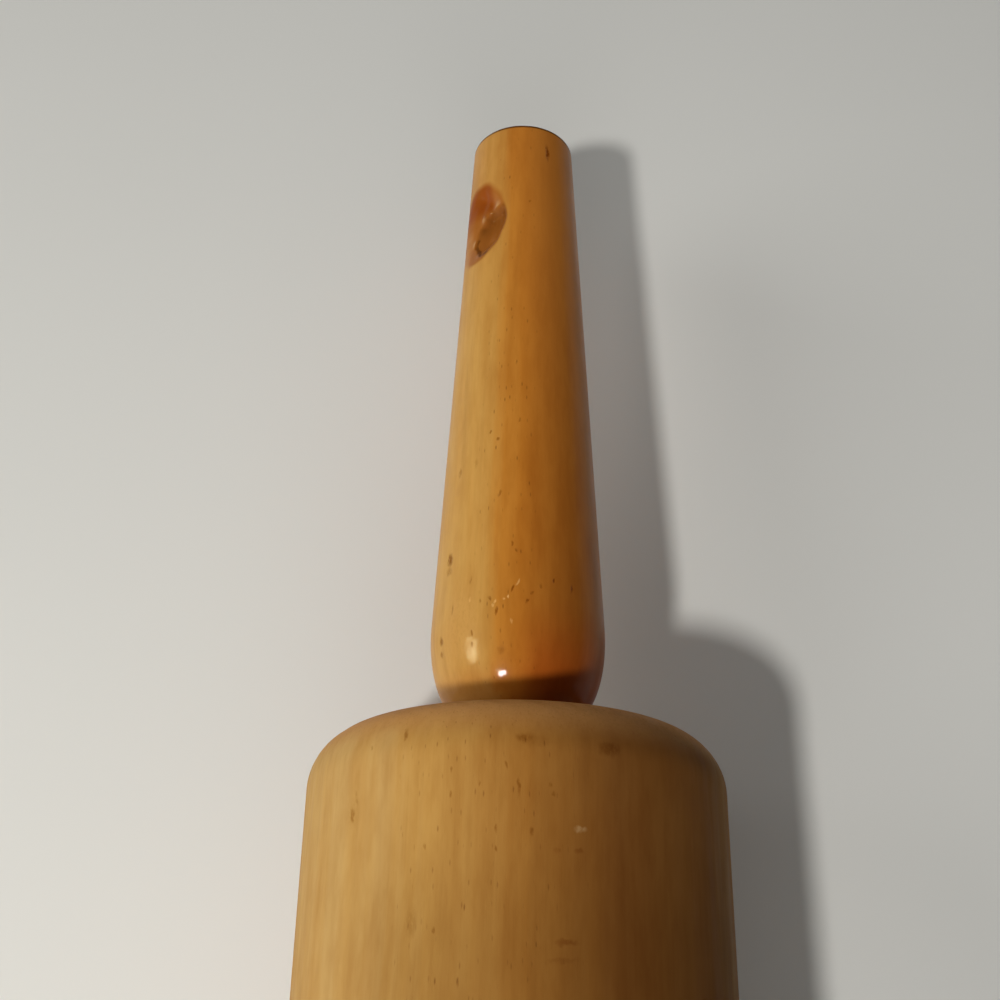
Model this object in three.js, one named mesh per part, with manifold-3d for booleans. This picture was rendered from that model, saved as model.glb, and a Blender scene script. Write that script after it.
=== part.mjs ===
// Rolling pin with turned handles. A raw beech barrel spins on two cup-and-cone ball bearings about a
// steel axle, and a lacquered beech handle is pressed on each knurled end of that axle.
// Millimetres, +Z up. The pin lies along X on a table, with the origin on the table under its middle.
import * as THREE from "three";
import { mergeVertices } from "three/addons/utils/BufferGeometryUtils.js";
import Module from "manifold-3d";

// Barrel
const barrelDiameter = 56;
const barrelLength = 250;
const shoulderRadius = 8; // round between the barrel's side and its end face
const boreClearance = 1; // radial room between the axle and the barrel's bore

// Handles: a round nose beside the barrel, then a straight taper to a flat tip
const handleDiameter = 24.8;
const handleTipDiameter = 16.5;
const handleLength = 98;
const noseLength = 12; // from the handle's inner face to its thickest place
const noseDepth = 5.4; // how far the nose draws in towards the inner face
const tipRound = 0.4;

// Axle
const axleDiameter = 8;
const axleGrip = 55; // length of axle inside each handle
const axleChamfer = 0.8;
const knurlLength = 38;
const knurlHeight = 0.25; // how far the knurl stands out of the axle
const knurlRoot = 0.3; // how far the knurl's grooves lie under the axle's surface
const knurlTeeth = 20;
const boreEndRoom = 1.5; // empty bore past the axle's end
const drillTipAngle = THREE.MathUtils.degToRad(59); // half angle of the drill that makes the handle's bore

// Ball bearings: a pressed cup in the barrel, a full ring of loose balls and a cone on the axle
const ballDiameter = 4;
const ballSpacing = 0.35; // least room between neighbouring balls
const coneWall = 2.3; // steel between the axle and the cone's track
const coneLip = 0.3; // cone's flange beyond the middle of the balls
const coneFlange = 1.4; // thickness of that flange
const coneProud = 1; // how far the cone stands out of the barrel's end face
const coneHubWall = 3; // steel round the axle at the cone's outer end
const sheet = 1.2; // thickness of the pressed cup
const mouthRound = 1; // bend at the cup's mouth
const flangeWidth = 3.2; // cup's flange beyond the cup's wall
const cupHoleRoom = 0.6; // room between the cone and the hole in the cup's floor
const coverThickness = 0.6;
const coverSetback = 1.3; // cover's outer face below the barrel's end face
const coverBallRoom = 0.3; // room between the cover and the balls
const coverConeRoom = 0.4; // running room between the cover and the cone's flange

// Washer between the cone and the handle
const washerThickness = 1.2;
const washerWidth = 2.8; // from its hole to its rim

// Fits
const trackGap = 0.1; // between a ball and each track
const pressGap = 0.1; // radial gap of pressed pieces
const seatGap = 0.05; // between faces that bear on each other

// Facets
const barrelSides = 64;
const handleSides = 48;
const bearingSides = 32;
const arcSteps = 2; // half the number of chords on an arc
const ballDetail = 2;
const mergeDistance = 1e-4;

// Sizes that follow from the ones above
const barrelRadius = barrelDiameter / 2;
const axleRadius = axleDiameter / 2;
const knurlTipRadius = axleRadius + knurlHeight;
const handleGap = coneProud + washerThickness + 2 * seatGap; // barrel's end face to the handle
const ballRadius = ballDiameter / 2;
const coneBoreRadius = axleRadius + pressGap;
const coneTrackRadius = coneBoreRadius + coneWall; // bottom of the cone's track
const trackRadius = ballRadius + trackGap; // section of both tracks
const pitchRadius = coneTrackRadius + trackRadius; // circle through the balls' centres
const ballCount = Math.floor(Math.PI / Math.asin((ballDiameter + ballSpacing) / (2 * pitchRadius)));
const ballDepth = coverSetback + coverThickness + coverBallRoom + ballRadius; // below the end face
const cupRadius = pitchRadius + trackRadius; // inside of the cup's wall
const cupOuterRadius = cupRadius + sheet;
const cupDepth = ballDepth + trackRadius + sheet;
const flangeRadius = cupOuterRadius + flangeWidth;
const coneFlangeRadius = pitchRadius + coneLip;
const axisHeight = barrelRadius * Math.cos(Math.PI / barrelSides); // the barrel rests on a facet

const wasm = await Module();
wasm.setup();

const rawBeech = new THREE.MeshStandardMaterial({ color: "#c29255", roughness: 0.62, metalness: 0 });
const lacqueredBeech = new THREE.MeshStandardMaterial({ color: "#b9772f", roughness: 0.28, metalness: 0 });
const brightSteel = new THREE.MeshStandardMaterial({ color: "#c9cbcc", roughness: 0.25, metalness: 1 });
const platedSteel = new THREE.MeshStandardMaterial({ color: "#b3b5b2", roughness: 0.4, metalness: 1 });

// A solid of revolution about Y, with a flat facet at the bottom. Profile points are (radius, height).
function revolve(points, sides) {
  return new THREE.LatheGeometry(points, sides, Math.PI / sides);
}

// A closed geometry as a manifold solid, with its shared vertices merged and its zero faces dropped.
function solidOf(geometry) {
  const bare = geometry.clone();
  bare.deleteAttribute("normal");
  bare.deleteAttribute("uv");
  const merged = mergeVertices(bare, mergeDistance);
  const corners = merged.index.array;
  const kept = [];
  for (let i = 0; i < corners.length; i += 3) {
    const [a, b, c] = corners.slice(i, i + 3);
    if (a !== b && b !== c && c !== a) kept.push(a, b, c);
  }
  return new wasm.Manifold(
    new wasm.Mesh({
      numProp: 3,
      vertProperties: merged.attributes.position.array,
      triVerts: new Uint32Array(kept),
    }),
  );
}

function geometryOf(solid) {
  const mesh = solid.getMesh();
  const geometry = new THREE.BufferGeometry();
  geometry.setAttribute("position", new THREE.BufferAttribute(mesh.vertProperties, 3));
  geometry.setIndex(new THREE.BufferAttribute(mesh.triVerts, 1));
  geometry.computeVertexNormals();
  return geometry;
}

function addMesh(group, name, geometry, material) {
  const mesh = new THREE.Mesh(geometry, material);
  mesh.name = name;
  group.add(mesh);
  return mesh;
}

// The barrel with its bore, and at each end a stepped seat for the bearing cup and the cup's flange.
function barrelGeometry() {
  const face = barrelLength / 2;
  const cupSeatRadius = cupOuterRadius + pressGap;
  const cupSeat = face - cupDepth - seatGap;
  const flangeSeatRadius = flangeRadius + pressGap;
  const flangeSeat = face - sheet - seatGap;
  const roundCentre = barrelRadius - shoulderRadius;
  const half = new THREE.Path();
  half.absarc(roundCentre, face - shoulderRadius, shoulderRadius, 0, Math.PI / 2);
  half.lineTo(flangeSeatRadius, face);
  half.lineTo(flangeSeatRadius, flangeSeat);
  half.lineTo(cupSeatRadius, flangeSeat);
  half.lineTo(cupSeatRadius, cupSeat);
  half.lineTo(axleRadius + boreClearance, cupSeat);
  const upper = half.getPoints(arcSteps);
  const lower = upper.map((p) => new THREE.Vector2(p.x, -p.y)).reverse();
  return revolve([...upper, ...lower, upper[0]], barrelSides);
}

// A handle with its blind bore, from its inner face at height 0 to its tip.
function handleGeometry() {
  const boreRadius = knurlTipRadius + pressGap;
  const boreEnd = axleGrip + boreEndRoom;
  const tipRadius = handleTipDiameter / 2;
  const noseCentre = handleDiameter / 2 - noseDepth;
  const taper = (handleDiameter / 2 - tipRadius) / (handleLength - noseLength - tipRound);
  const taperStart = Math.atan((taper * noseLength) / noseDepth); // where the nose runs into the taper
  const profile = new THREE.Path();
  profile.moveTo(0, boreEnd + boreRadius / Math.tan(drillTipAngle));
  profile.lineTo(boreRadius, boreEnd);
  profile.lineTo(boreRadius, 0);
  profile.absellipse(noseCentre, noseLength, noseDepth, noseLength, -Math.PI / 2, taperStart);
  profile.absarc(tipRadius - tipRound, handleLength - tipRound, tipRound, 0, Math.PI / 2);
  profile.lineTo(0, handleLength);
  return revolve(profile.getPoints(arcSteps), handleSides);
}

// One straight knurl, standing up from height 0.
function knurlGeometry() {
  const outline = new THREE.Shape();
  for (let i = 0; i < 2 * knurlTeeth; i++) {
    const radius = i % 2 ? axleRadius - knurlRoot : knurlTipRadius;
    const angle = (i * Math.PI) / knurlTeeth;
    outline[i ? "lineTo" : "moveTo"](radius * Math.cos(angle), radius * Math.sin(angle));
  }
  return new THREE.ExtrudeGeometry(outline, { depth: knurlLength, bevelEnabled: false }).rotateX(-Math.PI / 2);
}

// The axle: a chamfered rod whose two ends are knurled where the handles grip.
function axleGeometry() {
  const end = barrelLength / 2 + handleGap + axleGrip;
  const neck = axleRadius - axleChamfer;
  const knurlStart = end - axleChamfer - knurlLength;
  const rod = [
    new THREE.Vector2(0, -end),
    new THREE.Vector2(neck, -end),
    new THREE.Vector2(axleRadius, -end + axleChamfer),
    new THREE.Vector2(axleRadius, end - axleChamfer),
    new THREE.Vector2(neck, end),
    new THREE.Vector2(0, end),
  ];
  const upper = knurlGeometry().translate(0, knurlStart, 0);
  const lower = upper.clone().rotateZ(Math.PI);
  return geometryOf(solidOf(revolve(rod, bearingSides)).add(solidOf(upper)).add(solidOf(lower)));
}

// The pressed cup: a flange on the barrel's end face, a wall, and a floor that curves round the balls.
function cupGeometry() {
  const outerTrack = trackRadius + sheet;
  const holeRadius = coneTrackRadius + cupHoleRoom;
  const profile = new THREE.Path();
  profile.moveTo(holeRadius, -cupDepth);
  profile.absarc(pitchRadius, -ballDepth, outerTrack, -Math.PI / 2, 0);
  profile.lineTo(cupOuterRadius, -sheet);
  profile.lineTo(flangeRadius, -sheet);
  profile.lineTo(flangeRadius, 0);
  profile.absarc(cupRadius + mouthRound, -mouthRound, mouthRound, Math.PI / 2, Math.PI);
  profile.absarc(pitchRadius, -ballDepth, trackRadius, 0, -Math.PI / 2, true);
  profile.lineTo(holeRadius, sheet - cupDepth);
  profile.closePath();
  return revolve(profile.getPoints(arcSteps), bearingSides);
}

// The cone: a bush on the axle with a track for the balls, a flange outside them and a hub.
function coneGeometry() {
  const flangeFace = trackRadius - ballDepth;
  const hubRadius = coneBoreRadius + coneHubWall;
  const profile = new THREE.Path();
  profile.moveTo(coneBoreRadius, -ballDepth - trackRadius);
  profile.lineTo(coneTrackRadius, -ballDepth - trackRadius);
  profile.absarc(pitchRadius, -ballDepth, trackRadius, Math.PI, Math.PI / 2, true);
  profile.lineTo(coneFlangeRadius, flangeFace);
  profile.lineTo(coneFlangeRadius, flangeFace + coneFlange);
  profile.lineTo(hubRadius, coneProud);
  profile.lineTo(coneBoreRadius, coneProud);
  profile.closePath();
  return revolve(profile.getPoints(arcSteps), bearingSides);
}

// A flat ring between two radii, standing on the given height.
function ringGeometry(inner, outer, low, thickness) {
  const profile = new THREE.Path();
  profile.moveTo(inner, low);
  profile.lineTo(outer, low);
  profile.lineTo(outer, low + thickness);
  profile.lineTo(inner, low + thickness);
  profile.closePath();
  return revolve(profile.getPoints(), bearingSides);
}

// All that sits at one end of the barrel. Height 0 is the barrel's end face, and up is towards the handle.
function makeEnd(side) {
  const end = new THREE.Group();
  const cover = ringGeometry(
    coneFlangeRadius + coverConeRoom,
    cupRadius - pressGap,
    -coverSetback - coverThickness,
    coverThickness,
  );
  const washer = ringGeometry(
    coneBoreRadius,
    coneBoreRadius + washerWidth,
    coneProud + seatGap,
    washerThickness,
  );
  addMesh(end, `bearing_cup_${side}`, cupGeometry(), platedSteel);
  addMesh(end, `bearing_cone_${side}`, coneGeometry(), platedSteel);
  addMesh(end, `bearing_cover_${side}`, cover, platedSteel);
  addMesh(end, `handle_washer_${side}`, washer, platedSteel);
  addMesh(end, `handle_${side}`, handleGeometry(), lacqueredBeech).position.y = handleGap;
  for (let i = 0; i < ballCount; i++) {
    const angle = (i * 2 * Math.PI) / ballCount;
    const geometry = new THREE.IcosahedronGeometry(ballRadius, ballDetail);
    const ball = addMesh(end, `bearing_ball_${side}_${i + 1}`, geometry, brightSteel);
    ball.position.set(pitchRadius * Math.cos(angle), -ballDepth, pitchRadius * Math.sin(angle));
  }
  return end;
}

const pin = new THREE.Group();
addMesh(pin, "barrel", barrelGeometry(), rawBeech);
addMesh(pin, "axle", axleGeometry(), brightSteel);
const rightEnd = makeEnd("right");
rightEnd.position.y = barrelLength / 2;
const leftEnd = makeEnd("left");
leftEnd.position.y = -barrelLength / 2;
leftEnd.rotation.z = Math.PI;
pin.add(rightEnd, leftEnd);
pin.rotation.z = -Math.PI / 2; // the axis of revolution, Y above, lies along X
pin.position.z = axisHeight;

const part = new THREE.Group();
part.add(pin);

export default part;
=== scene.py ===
import math

import bmesh
import bpy
import numpy as np
from mathutils import Matrix, Vector


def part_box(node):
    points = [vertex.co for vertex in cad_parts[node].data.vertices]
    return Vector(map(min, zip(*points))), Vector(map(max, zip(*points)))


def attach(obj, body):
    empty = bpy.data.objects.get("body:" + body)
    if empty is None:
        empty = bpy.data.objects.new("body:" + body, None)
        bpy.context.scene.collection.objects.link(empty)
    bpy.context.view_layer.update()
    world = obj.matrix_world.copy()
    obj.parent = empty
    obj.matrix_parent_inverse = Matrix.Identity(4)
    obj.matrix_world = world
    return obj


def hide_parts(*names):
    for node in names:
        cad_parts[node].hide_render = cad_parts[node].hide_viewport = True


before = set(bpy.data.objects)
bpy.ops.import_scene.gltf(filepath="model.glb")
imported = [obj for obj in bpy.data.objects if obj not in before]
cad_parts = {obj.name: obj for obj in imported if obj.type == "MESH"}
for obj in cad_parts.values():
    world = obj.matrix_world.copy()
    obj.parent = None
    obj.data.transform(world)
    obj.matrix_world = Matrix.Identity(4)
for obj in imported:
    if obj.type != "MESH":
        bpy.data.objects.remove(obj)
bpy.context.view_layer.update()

MM = 0.001

# Sizes in millimetres, read from the solids or the same as theirs
low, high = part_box("barrel")
AXIS_HEIGHT = (low.z + high.z) / 2 / MM
BARREL_RADIUS = (high.z - low.z) / 2 / MM
BARREL_END = high.x / MM
SHOULDER = 8.0
BORE_RADIUS = 5.0
CUP_SEAT = (11.9, 7.55)  # radius and depth
FLANGE_SEAT = (15.1, 1.25)  # radius and depth
SEAT_CHAMFER = 0.3
low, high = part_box("handle_right")
HANDLE_START = low.x / MM
HANDLE_END = high.x / MM
HANDLE_RADIUS = (high.z - low.z) / 2 / MM
TIP_RADIUS = 8.232
TIP_ROUND = 0.4
NOSE_LENGTH = 12.0
NOSE_DEPTH = 5.4
HANDLE_BORE = (4.35, 56.5, 2.6)  # radius, depth and the length of the drill's point
BORE_CHAMFER = 0.4
PITCH_RADIUS = 8.5  # of the ring of balls
BALL_DEPTH = 4.2  # middle of the balls below the barrel's end face
TRACK = 2.1  # radius of both tracks' section
SHEET = 1.2  # thickness of the cup
CUP_WALL = 10.6
CUP_HOLE = 7.0
CUP_MOUTH = 1.0  # bend at the cup's mouth
FLANGE_RADIUS = 15.0
CONE_BORE = 4.1
CONE_TRACK = 6.4
CONE_FLANGE = (8.8, 1.4)  # radius and thickness
CONE_HUB = 7.1
CONE_PROUD = 1.0
COVER = (9.2, 10.5, -1.9, -1.3)  # inner and outer radius, inner and outer face
WASHER = (4.1, 6.9, 1.05, 2.25)  # the same
BREAK = 0.15  # by which a sharp steel edge is cut back along each side
FLATTEST_CORNER = -0.7  # cosine between the two sides of the flattest corner that is cut

# Fineness of the meshes: columns round a piece, steps of an arc, and spacing of rows in millimetres
BARREL_COLUMNS = 224
SCARRED_COLUMNS = 260
SCAR_CROWDING = 0.6
PLAIN_COLUMNS = 144
STEEL_COLUMNS = 128
SHOULDER_STEPS = 18
NOSE_STEPS = 36
TIP_STEPS = 6
TRACK_STEPS = 10
MOUTH_STEPS = 8
SIDE_SPACING = 2.0
FACE_SPACING = 1.2
TIP_SPACING = 1.4
LAST_SPACING = 1.0  # of the handle's last stretch
RIGHT_STRETCHES = ((196.5, 1.0), (217.0, 0.2))  # end of each stretch of the handle, and its spacing
LEFT_STRETCHES = ((200.0, 1.5),)
MERGE_DISTANCE = 1e-7  # in metres
SHARP_ANGLE = math.radians(38)
BALL_SHARP_ANGLE = math.radians(45)

# Shallow dents and a faint ripple on the barrel
DENT_SEED = 7
DENT_COUNT = 46
DENT_SIZES = (2.0, 5.0)
DENT_DEPTHS = (0.03, 0.12)
RIPPLE_HEIGHT = 0.012
RIPPLE_LENGTH = 7.3
SEAT_MARGIN = 1  # plain wood round the flange's seat

# The hollow in the handle, a healed knot that the lacquer covers
SCAR_X = 206.9
SCAR_ANGLE = math.radians(53)
SCAR_HALF_LENGTH = 7.9
SCAR_HALF_WIDTH = 6.0
SCAR_RADIUS = 9.3  # of the handle there
SCAR_UPPER_DEPTH = 1.1
SCAR_LOWER_DEPTH = 2.2
SCAR_STRETCH = 0.06  # of its half towards the tip
SCAR_WAVE = 0.02  # unevenness of its outline
# Its ridge and its crack run through places along and across it, and each crest has a place and a size
SCAR_RIDGE = (
    (-1.0, -0.3),
    (-0.67, -0.06),
    (-0.44, 0.14),
    (-0.19, 0.12),
    (0.0, 0.03),
    (0.12, -0.17),
    (0.4, -0.5),
)
SCAR_CRACK = ((-0.28, 0.12), (-0.44, 0.16), (-0.68, -0.05), (-0.85, -0.23), (-0.79, -0.43))
SCAR_CRESTS = ((0.32, -0.64, 0.12), (0.16, -0.10, 0.08), (-0.36, 0.20, 0.08))
RIDGE_SLOPE = 0.06  # half width of the step at the ridge
CRACK_START = 0.05  # distance from its path at which the crack starts
CRACK_FULL = 0.01
CRACK_WAVE = 0.02
LUMP_HEIGHT = 0.1
CREST_HEIGHT = 0.3
CRACK_DEPTH = 0.3
# Shades in it, from 0, palest, to 1, darkest
BED_SHADE = 0.22
# Darkening of the deep part below the ridge: partly its own stain, partly painted shade of the recess
STAIN_AND_SHADE = 0.08
STAIN_AND_SHADE_DEEPENING = 0.26  # towards the tip
LEFT_PALENESS = 0.08
CRACK_SHADE = 0.42
# Painted glint: the crests made paler, towards cream
CREST_GLINT = 0.16

# Camera: place, downward tilt, turn to the photograph's left and focal length of a 36 mm frame
CAMERA_PLACE = (85.11, 1.66, 195.73)
CAMERA_TILT = math.radians(65.62)
CAMERA_TURN = math.radians(0.924)
CAMERA_LENS = 44.43
CAMERA_FRAME = 36
CAMERA_NEAR = 0.01  # in metres

# Lights: name, place and size in metres, power in watts, tone, and the surfaces that they light
LIT_PLACE = (0.13, 0, 0.04)  # the nose of the photographed handle
WHITE = (1.0, 1.0, 1.0)
LIGHTS = (
    ("left", (0.13, 2.0, 1.0), (1.5, 1.5), 19.6, WHITE, "matt"),
    ("front", (-2.0, 0.0, 1.2), (1.5, 1.5), 12.0, WHITE, "matt"),
    ("back", (2.2, 0.0, 1.2), (1.5, 1.5), 4.8, WHITE, "matt"),
    ("window", (0.09, 1.42, 0.78), (0.5, 0.38), 16.0, (1.0, 0.92, 0.54), "gloss"),
    ("lamp", (-0.097, 0.192, 0.459), (0.045, 0.045), 1.5, (1.0, 0.99, 0.97), "all"),
)
SKY_STRENGTH = 0.032
FLOOR_REACH = 4.0  # in metres


def smooth(start, end, value):
    """0 at start, 1 at end, and a smooth rise between."""
    share = np.clip((value - start) / (end - start), 0, 1)
    return share * share * (3 - 2 * share)


# Turned shapes

def arc(x, radius, half_length, half_depth, start, end, steps):
    """Rows (x, radius) on an ellipse. 0 degrees is outermost, and 90 degrees is towards +X."""
    turn = np.radians(np.linspace(start, end, steps + 1))
    return np.column_stack([x + half_length * np.sin(turn), radius + half_depth * np.cos(turn)])


def line(start, end, spacing):
    """Rows from one (x, radius) to another, with the first left out."""
    count = max(1, round(math.dist(start, end) / spacing))
    return np.linspace(start, end, count + 1)[1:]


def mirrored(rows):
    """Rows of the right end as rows of the left end."""
    return np.asarray(rows) * (-1, 1)


def columns(count, focus=0.0, crowd=0.0):
    """Angles of the columns round a turned piece, crowded about one angle."""
    turn = np.linspace(0, 2 * math.pi, count, endpoint=False)
    return focus + turn - crowd * np.sin(turn)


def turned(name, rows, angles, closed, sink=None):
    """A mesh turned about the pin's axis. A closed profile meets itself, and an open one ends on the axis."""
    rows = np.asarray(rows, float)
    x, angle = np.meshgrid(rows[:, 0], angles, indexing="ij")
    radius = np.repeat(rows[:, 1:2], len(angles), axis=1)
    if sink is not None:
        radius = radius - sink(x, angle, radius)
    places = np.stack([x, radius * np.sin(angle), AXIS_HEIGHT + radius * np.cos(angle)], axis=-1) * MM
    corner = np.arange(radius.size).reshape(radius.shape)
    onward = np.roll(corner, -1, axis=0)
    quads = np.stack([corner, onward, np.roll(onward, -1, axis=1), np.roll(corner, -1, axis=1)], axis=-1)
    if not closed:
        quads = quads[:-1]
    mesh = bpy.data.meshes.new(name)
    mesh.from_pydata(places.reshape(-1, 3).tolist(), [], quads.reshape(-1, 4).tolist())
    work = bmesh.new()
    work.from_mesh(mesh)
    bmesh.ops.remove_doubles(work, verts=work.verts, dist=MERGE_DISTANCE)
    bmesh.ops.recalc_face_normals(work, faces=work.faces)
    work.to_mesh(mesh)
    work.free()
    mesh.shade_smooth()
    mesh.set_sharp_from_angle(angle=SHARP_ANGLE)
    piece = bpy.data.objects.new(name, mesh)
    bpy.context.scene.collection.objects.link(piece)
    return piece


def places_of(piece):
    """x and angle of each vertex, in millimetres and radians."""
    places = np.zeros(len(piece.data.vertices) * 3, np.float32)
    piece.data.vertices.foreach_get("co", places)
    x, y, z = places.reshape(-1, 3).T / MM
    return x, np.arctan2(y, z - AXIS_HEIGHT)


def paint(piece, name, values):
    """Stores one number for each vertex, for the materials to read."""
    layer = piece.data.attributes.new(name, "FLOAT", "POINT")
    layer.data.foreach_set("value", np.asarray(values, np.float32))


def barrel_rows():
    """Half of the barrel's outline, from its middle round the shoulder into the bore, and its mirror."""
    shoulder_middle = (BARREL_END - SHOULDER, BARREL_RADIUS - SHOULDER)
    shoulder = arc(*shoulder_middle, SHOULDER, SHOULDER, 0, 90, SHOULDER_STEPS)
    side = line((0, BARREL_RADIUS), shoulder[0], SIDE_SPACING)
    flange_radius, flange_depth = FLANGE_SEAT
    cup_radius, cup_depth = CUP_SEAT
    seat = [
        (BARREL_END - SEAT_CHAMFER, flange_radius),
        (BARREL_END - flange_depth, flange_radius),
        (BARREL_END - flange_depth, cup_radius),
        (BARREL_END - cup_depth, cup_radius),
        (BARREL_END - cup_depth, BORE_RADIUS),
        (0, BORE_RADIUS),
    ]
    face = line(shoulder[-1], (BARREL_END, flange_radius + SEAT_CHAMFER), FACE_SPACING)
    half = np.vstack([[(0, BARREL_RADIUS)], side, shoulder[1:], face, seat])
    return np.vstack([half, mirrored(half[-2:0:-1])])


def handle_rows(stretches):
    """The right handle's outline, from the end of its bore round the nose to the middle of its tip."""
    bore_radius, bore_depth, drill_point = HANDLE_BORE
    taper = (HANDLE_RADIUS - TIP_RADIUS) / (HANDLE_END - TIP_ROUND - HANDLE_START - NOSE_LENGTH)
    meet = math.degrees(math.atan(taper * NOSE_LENGTH / NOSE_DEPTH))
    nose_middle = (HANDLE_START + NOSE_LENGTH, HANDLE_RADIUS - NOSE_DEPTH)
    nose = arc(*nose_middle, NOSE_LENGTH, NOSE_DEPTH, -90, meet, NOSE_STEPS)
    edge = arc(HANDLE_END - TIP_ROUND, TIP_RADIUS - TIP_ROUND, TIP_ROUND, TIP_ROUND, 0, 90, TIP_STEPS)
    rows = [
        [(HANDLE_START + bore_depth + drill_point, 0), (HANDLE_START + bore_depth, bore_radius)],
        [(HANDLE_START + BORE_CHAMFER, bore_radius), (HANDLE_START, bore_radius + BORE_CHAMFER)],
        nose,
    ]
    start = nose[-1]
    for stop_x, spacing in stretches:
        share = (stop_x - nose[-1][0]) / (edge[0][0] - nose[-1][0])
        stop = nose[-1] + share * (edge[0] - nose[-1])
        rows.append(line(start, stop, spacing))
        start = stop
    rows.append(line(start, edge[0], LAST_SPACING))
    rows.append(edge[1:])
    rows.append(line(edge[-1], (HANDLE_END, 0), TIP_SPACING))
    return np.vstack(rows)


def scar_place(x, angle):
    """Place in the scar: -1 to 1 along the handle, and -1 to 1 across it, with + on the far left."""
    turn = np.mod(angle - SCAR_ANGLE + math.pi, 2 * math.pi) - math.pi
    return (x - SCAR_X) / SCAR_HALF_LENGTH, turn * SCAR_RADIUS / SCAR_HALF_WIDTH


def path_distance(along, across, path):
    """Distance of each point from a path of straight stretches."""
    nearest = np.full_like(along, np.inf)
    for (start_along, start_across), (end_along, end_across) in zip(path, path[1:]):
        step_along = end_along - start_along
        step_across = end_across - start_across
        share = (along - start_along) * step_along + (across - start_across) * step_across
        share = np.clip(share / (step_along**2 + step_across**2), 0, 1)
        gap = np.hypot(along - start_along - share * step_along, across - start_across - share * step_across)
        nearest = np.minimum(nearest, gap)
    return nearest


def scar_parts(x, angle):
    """Shares that shape and colour the scar.

    They are how far inside a point is, the deep part, its stain with painted shade, the crack and the crests.
    """
    along, across = scar_place(x, angle)
    inside = 1 - np.hypot(along - SCAR_STRETCH * np.maximum(along, 0), across)
    inside += SCAR_WAVE * np.sin(9 * along + 2) * np.cos(7 * across)
    ridge = np.interp(along, *np.transpose(SCAR_RIDGE))
    below = smooth(RIDGE_SLOPE, -RIDGE_SLOPE, across - ridge)
    deep = below * smooth(0.28, 0.14, along)
    stain_and_shade = below * smooth(0.34, 0.24, along)
    ragged = CRACK_WAVE * np.sin(17 * along + 3) * np.sin(23 * across + 1)
    crack = smooth(CRACK_START, CRACK_FULL, path_distance(along, across, SCAR_CRACK) + ragged)
    crest = np.zeros_like(along)
    for crest_along, crest_across, size in SCAR_CRESTS:
        crest += np.exp(-((along - crest_along) ** 2 + (across - crest_across) ** 2) / size**2)
    return inside, deep, stain_and_shade, crack, crest


def scar_sink(x, angle, radius):
    """Depth of the scar. It is steep at its right and runs out towards the left."""
    along, across = scar_place(x, angle)
    inside, deep, _, crack, crest = scar_parts(x, angle)
    bowl = smooth(0, 0.45, inside) * smooth(0.66, -0.25, across) * smooth(-1.3, -0.3, along)
    hollow = smooth(0, 0.2, inside) * deep * smooth(0.3, -0.2, across) * smooth(-1.0, -0.15, along)
    lumps = LUMP_HEIGHT * np.sin(8 * along + 5 * across) * np.sin(9 * across - 3 * along + 1)
    sunk = SCAR_UPPER_DEPTH * bowl + (SCAR_LOWER_DEPTH - SCAR_UPPER_DEPTH) * hollow
    sunk += bowl * (lumps - CREST_HEIGHT * crest + CRACK_DEPTH * crack)
    return np.where(radius > TIP_RADIUS - TIP_ROUND, sunk, 0)


def paint_scar(piece):
    """Stores where the scar is, its shade, darkened by painted shade in its deep part and paled by a painted
    glint on its crests, and its red upper end.
    """
    along, across = scar_place(*places_of(piece))
    inside, _, stain_and_shade, crack, crest = scar_parts(*places_of(piece))
    soft_edge = 0.05 + 0.09 * np.maximum(smooth(0.1, 0.6, along), smooth(-0.1, 0.4, across))
    paint(piece, "scar", smooth(-0.03, soft_edge, inside))
    # Painted shade darkens the deep part along with its stain, and a painted glint pales the crests
    darkest = STAIN_AND_SHADE + STAIN_AND_SHADE_DEEPENING * smooth(-0.45, 0.1, along)
    lightest = LEFT_PALENESS * smooth(0.15, 0.45, across) * smooth(0.2, -0.2, along)
    shade = BED_SHADE + darkest * stain_and_shade - lightest + CRACK_SHADE * crack - CREST_GLINT * crest
    paint(piece, "scar_shade", np.clip(shade, 0, 1))
    paint(piece, "scar_red", smooth(0.1, 0.45, along) * smooth(-0.62, -0.32, across) * (1 - stain_and_shade))


def bruises(x, angle, radius):
    """Shallow dents on the barrel's side and shoulders."""
    random = np.random.default_rng(DENT_SEED)
    sunk = np.zeros_like(x)
    for place, turn, size, depth in zip(
        random.uniform(-BARREL_END, BARREL_END, DENT_COUNT),
        random.uniform(-math.pi, math.pi, DENT_COUNT),
        random.uniform(*DENT_SIZES, DENT_COUNT),
        random.uniform(*DENT_DEPTHS, DENT_COUNT),
    ):
        across = (np.mod(angle - turn + math.pi, 2 * math.pi) - math.pi) * BARREL_RADIUS
        sunk += depth * np.exp(-((x - place) ** 2 + across**2) / (size / 2) ** 2)
    ripple = RIPPLE_HEIGHT * np.sin(2 * math.pi * x / RIPPLE_LENGTH) * np.sin(2 * angle)
    return np.where(radius > FLANGE_SEAT[0] + SEAT_MARGIN, sunk + ripple + RIPPLE_HEIGHT, 0)


def broken(rows):
    """A profile in steel with each sharp corner cut by a small flat."""
    rows = np.asarray(rows, float)
    cut = []
    for before, here, after in zip(np.roll(rows, 1, axis=0), rows, np.roll(rows, -1, axis=0)):
        back = (before - here) / np.linalg.norm(before - here)
        ahead = (after - here) / np.linalg.norm(after - here)
        if back @ ahead > FLATTEST_CORNER:
            cut += [here + BREAK * back, here + BREAK * ahead]
        else:
            cut.append(here)
    return np.array(cut)


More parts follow.
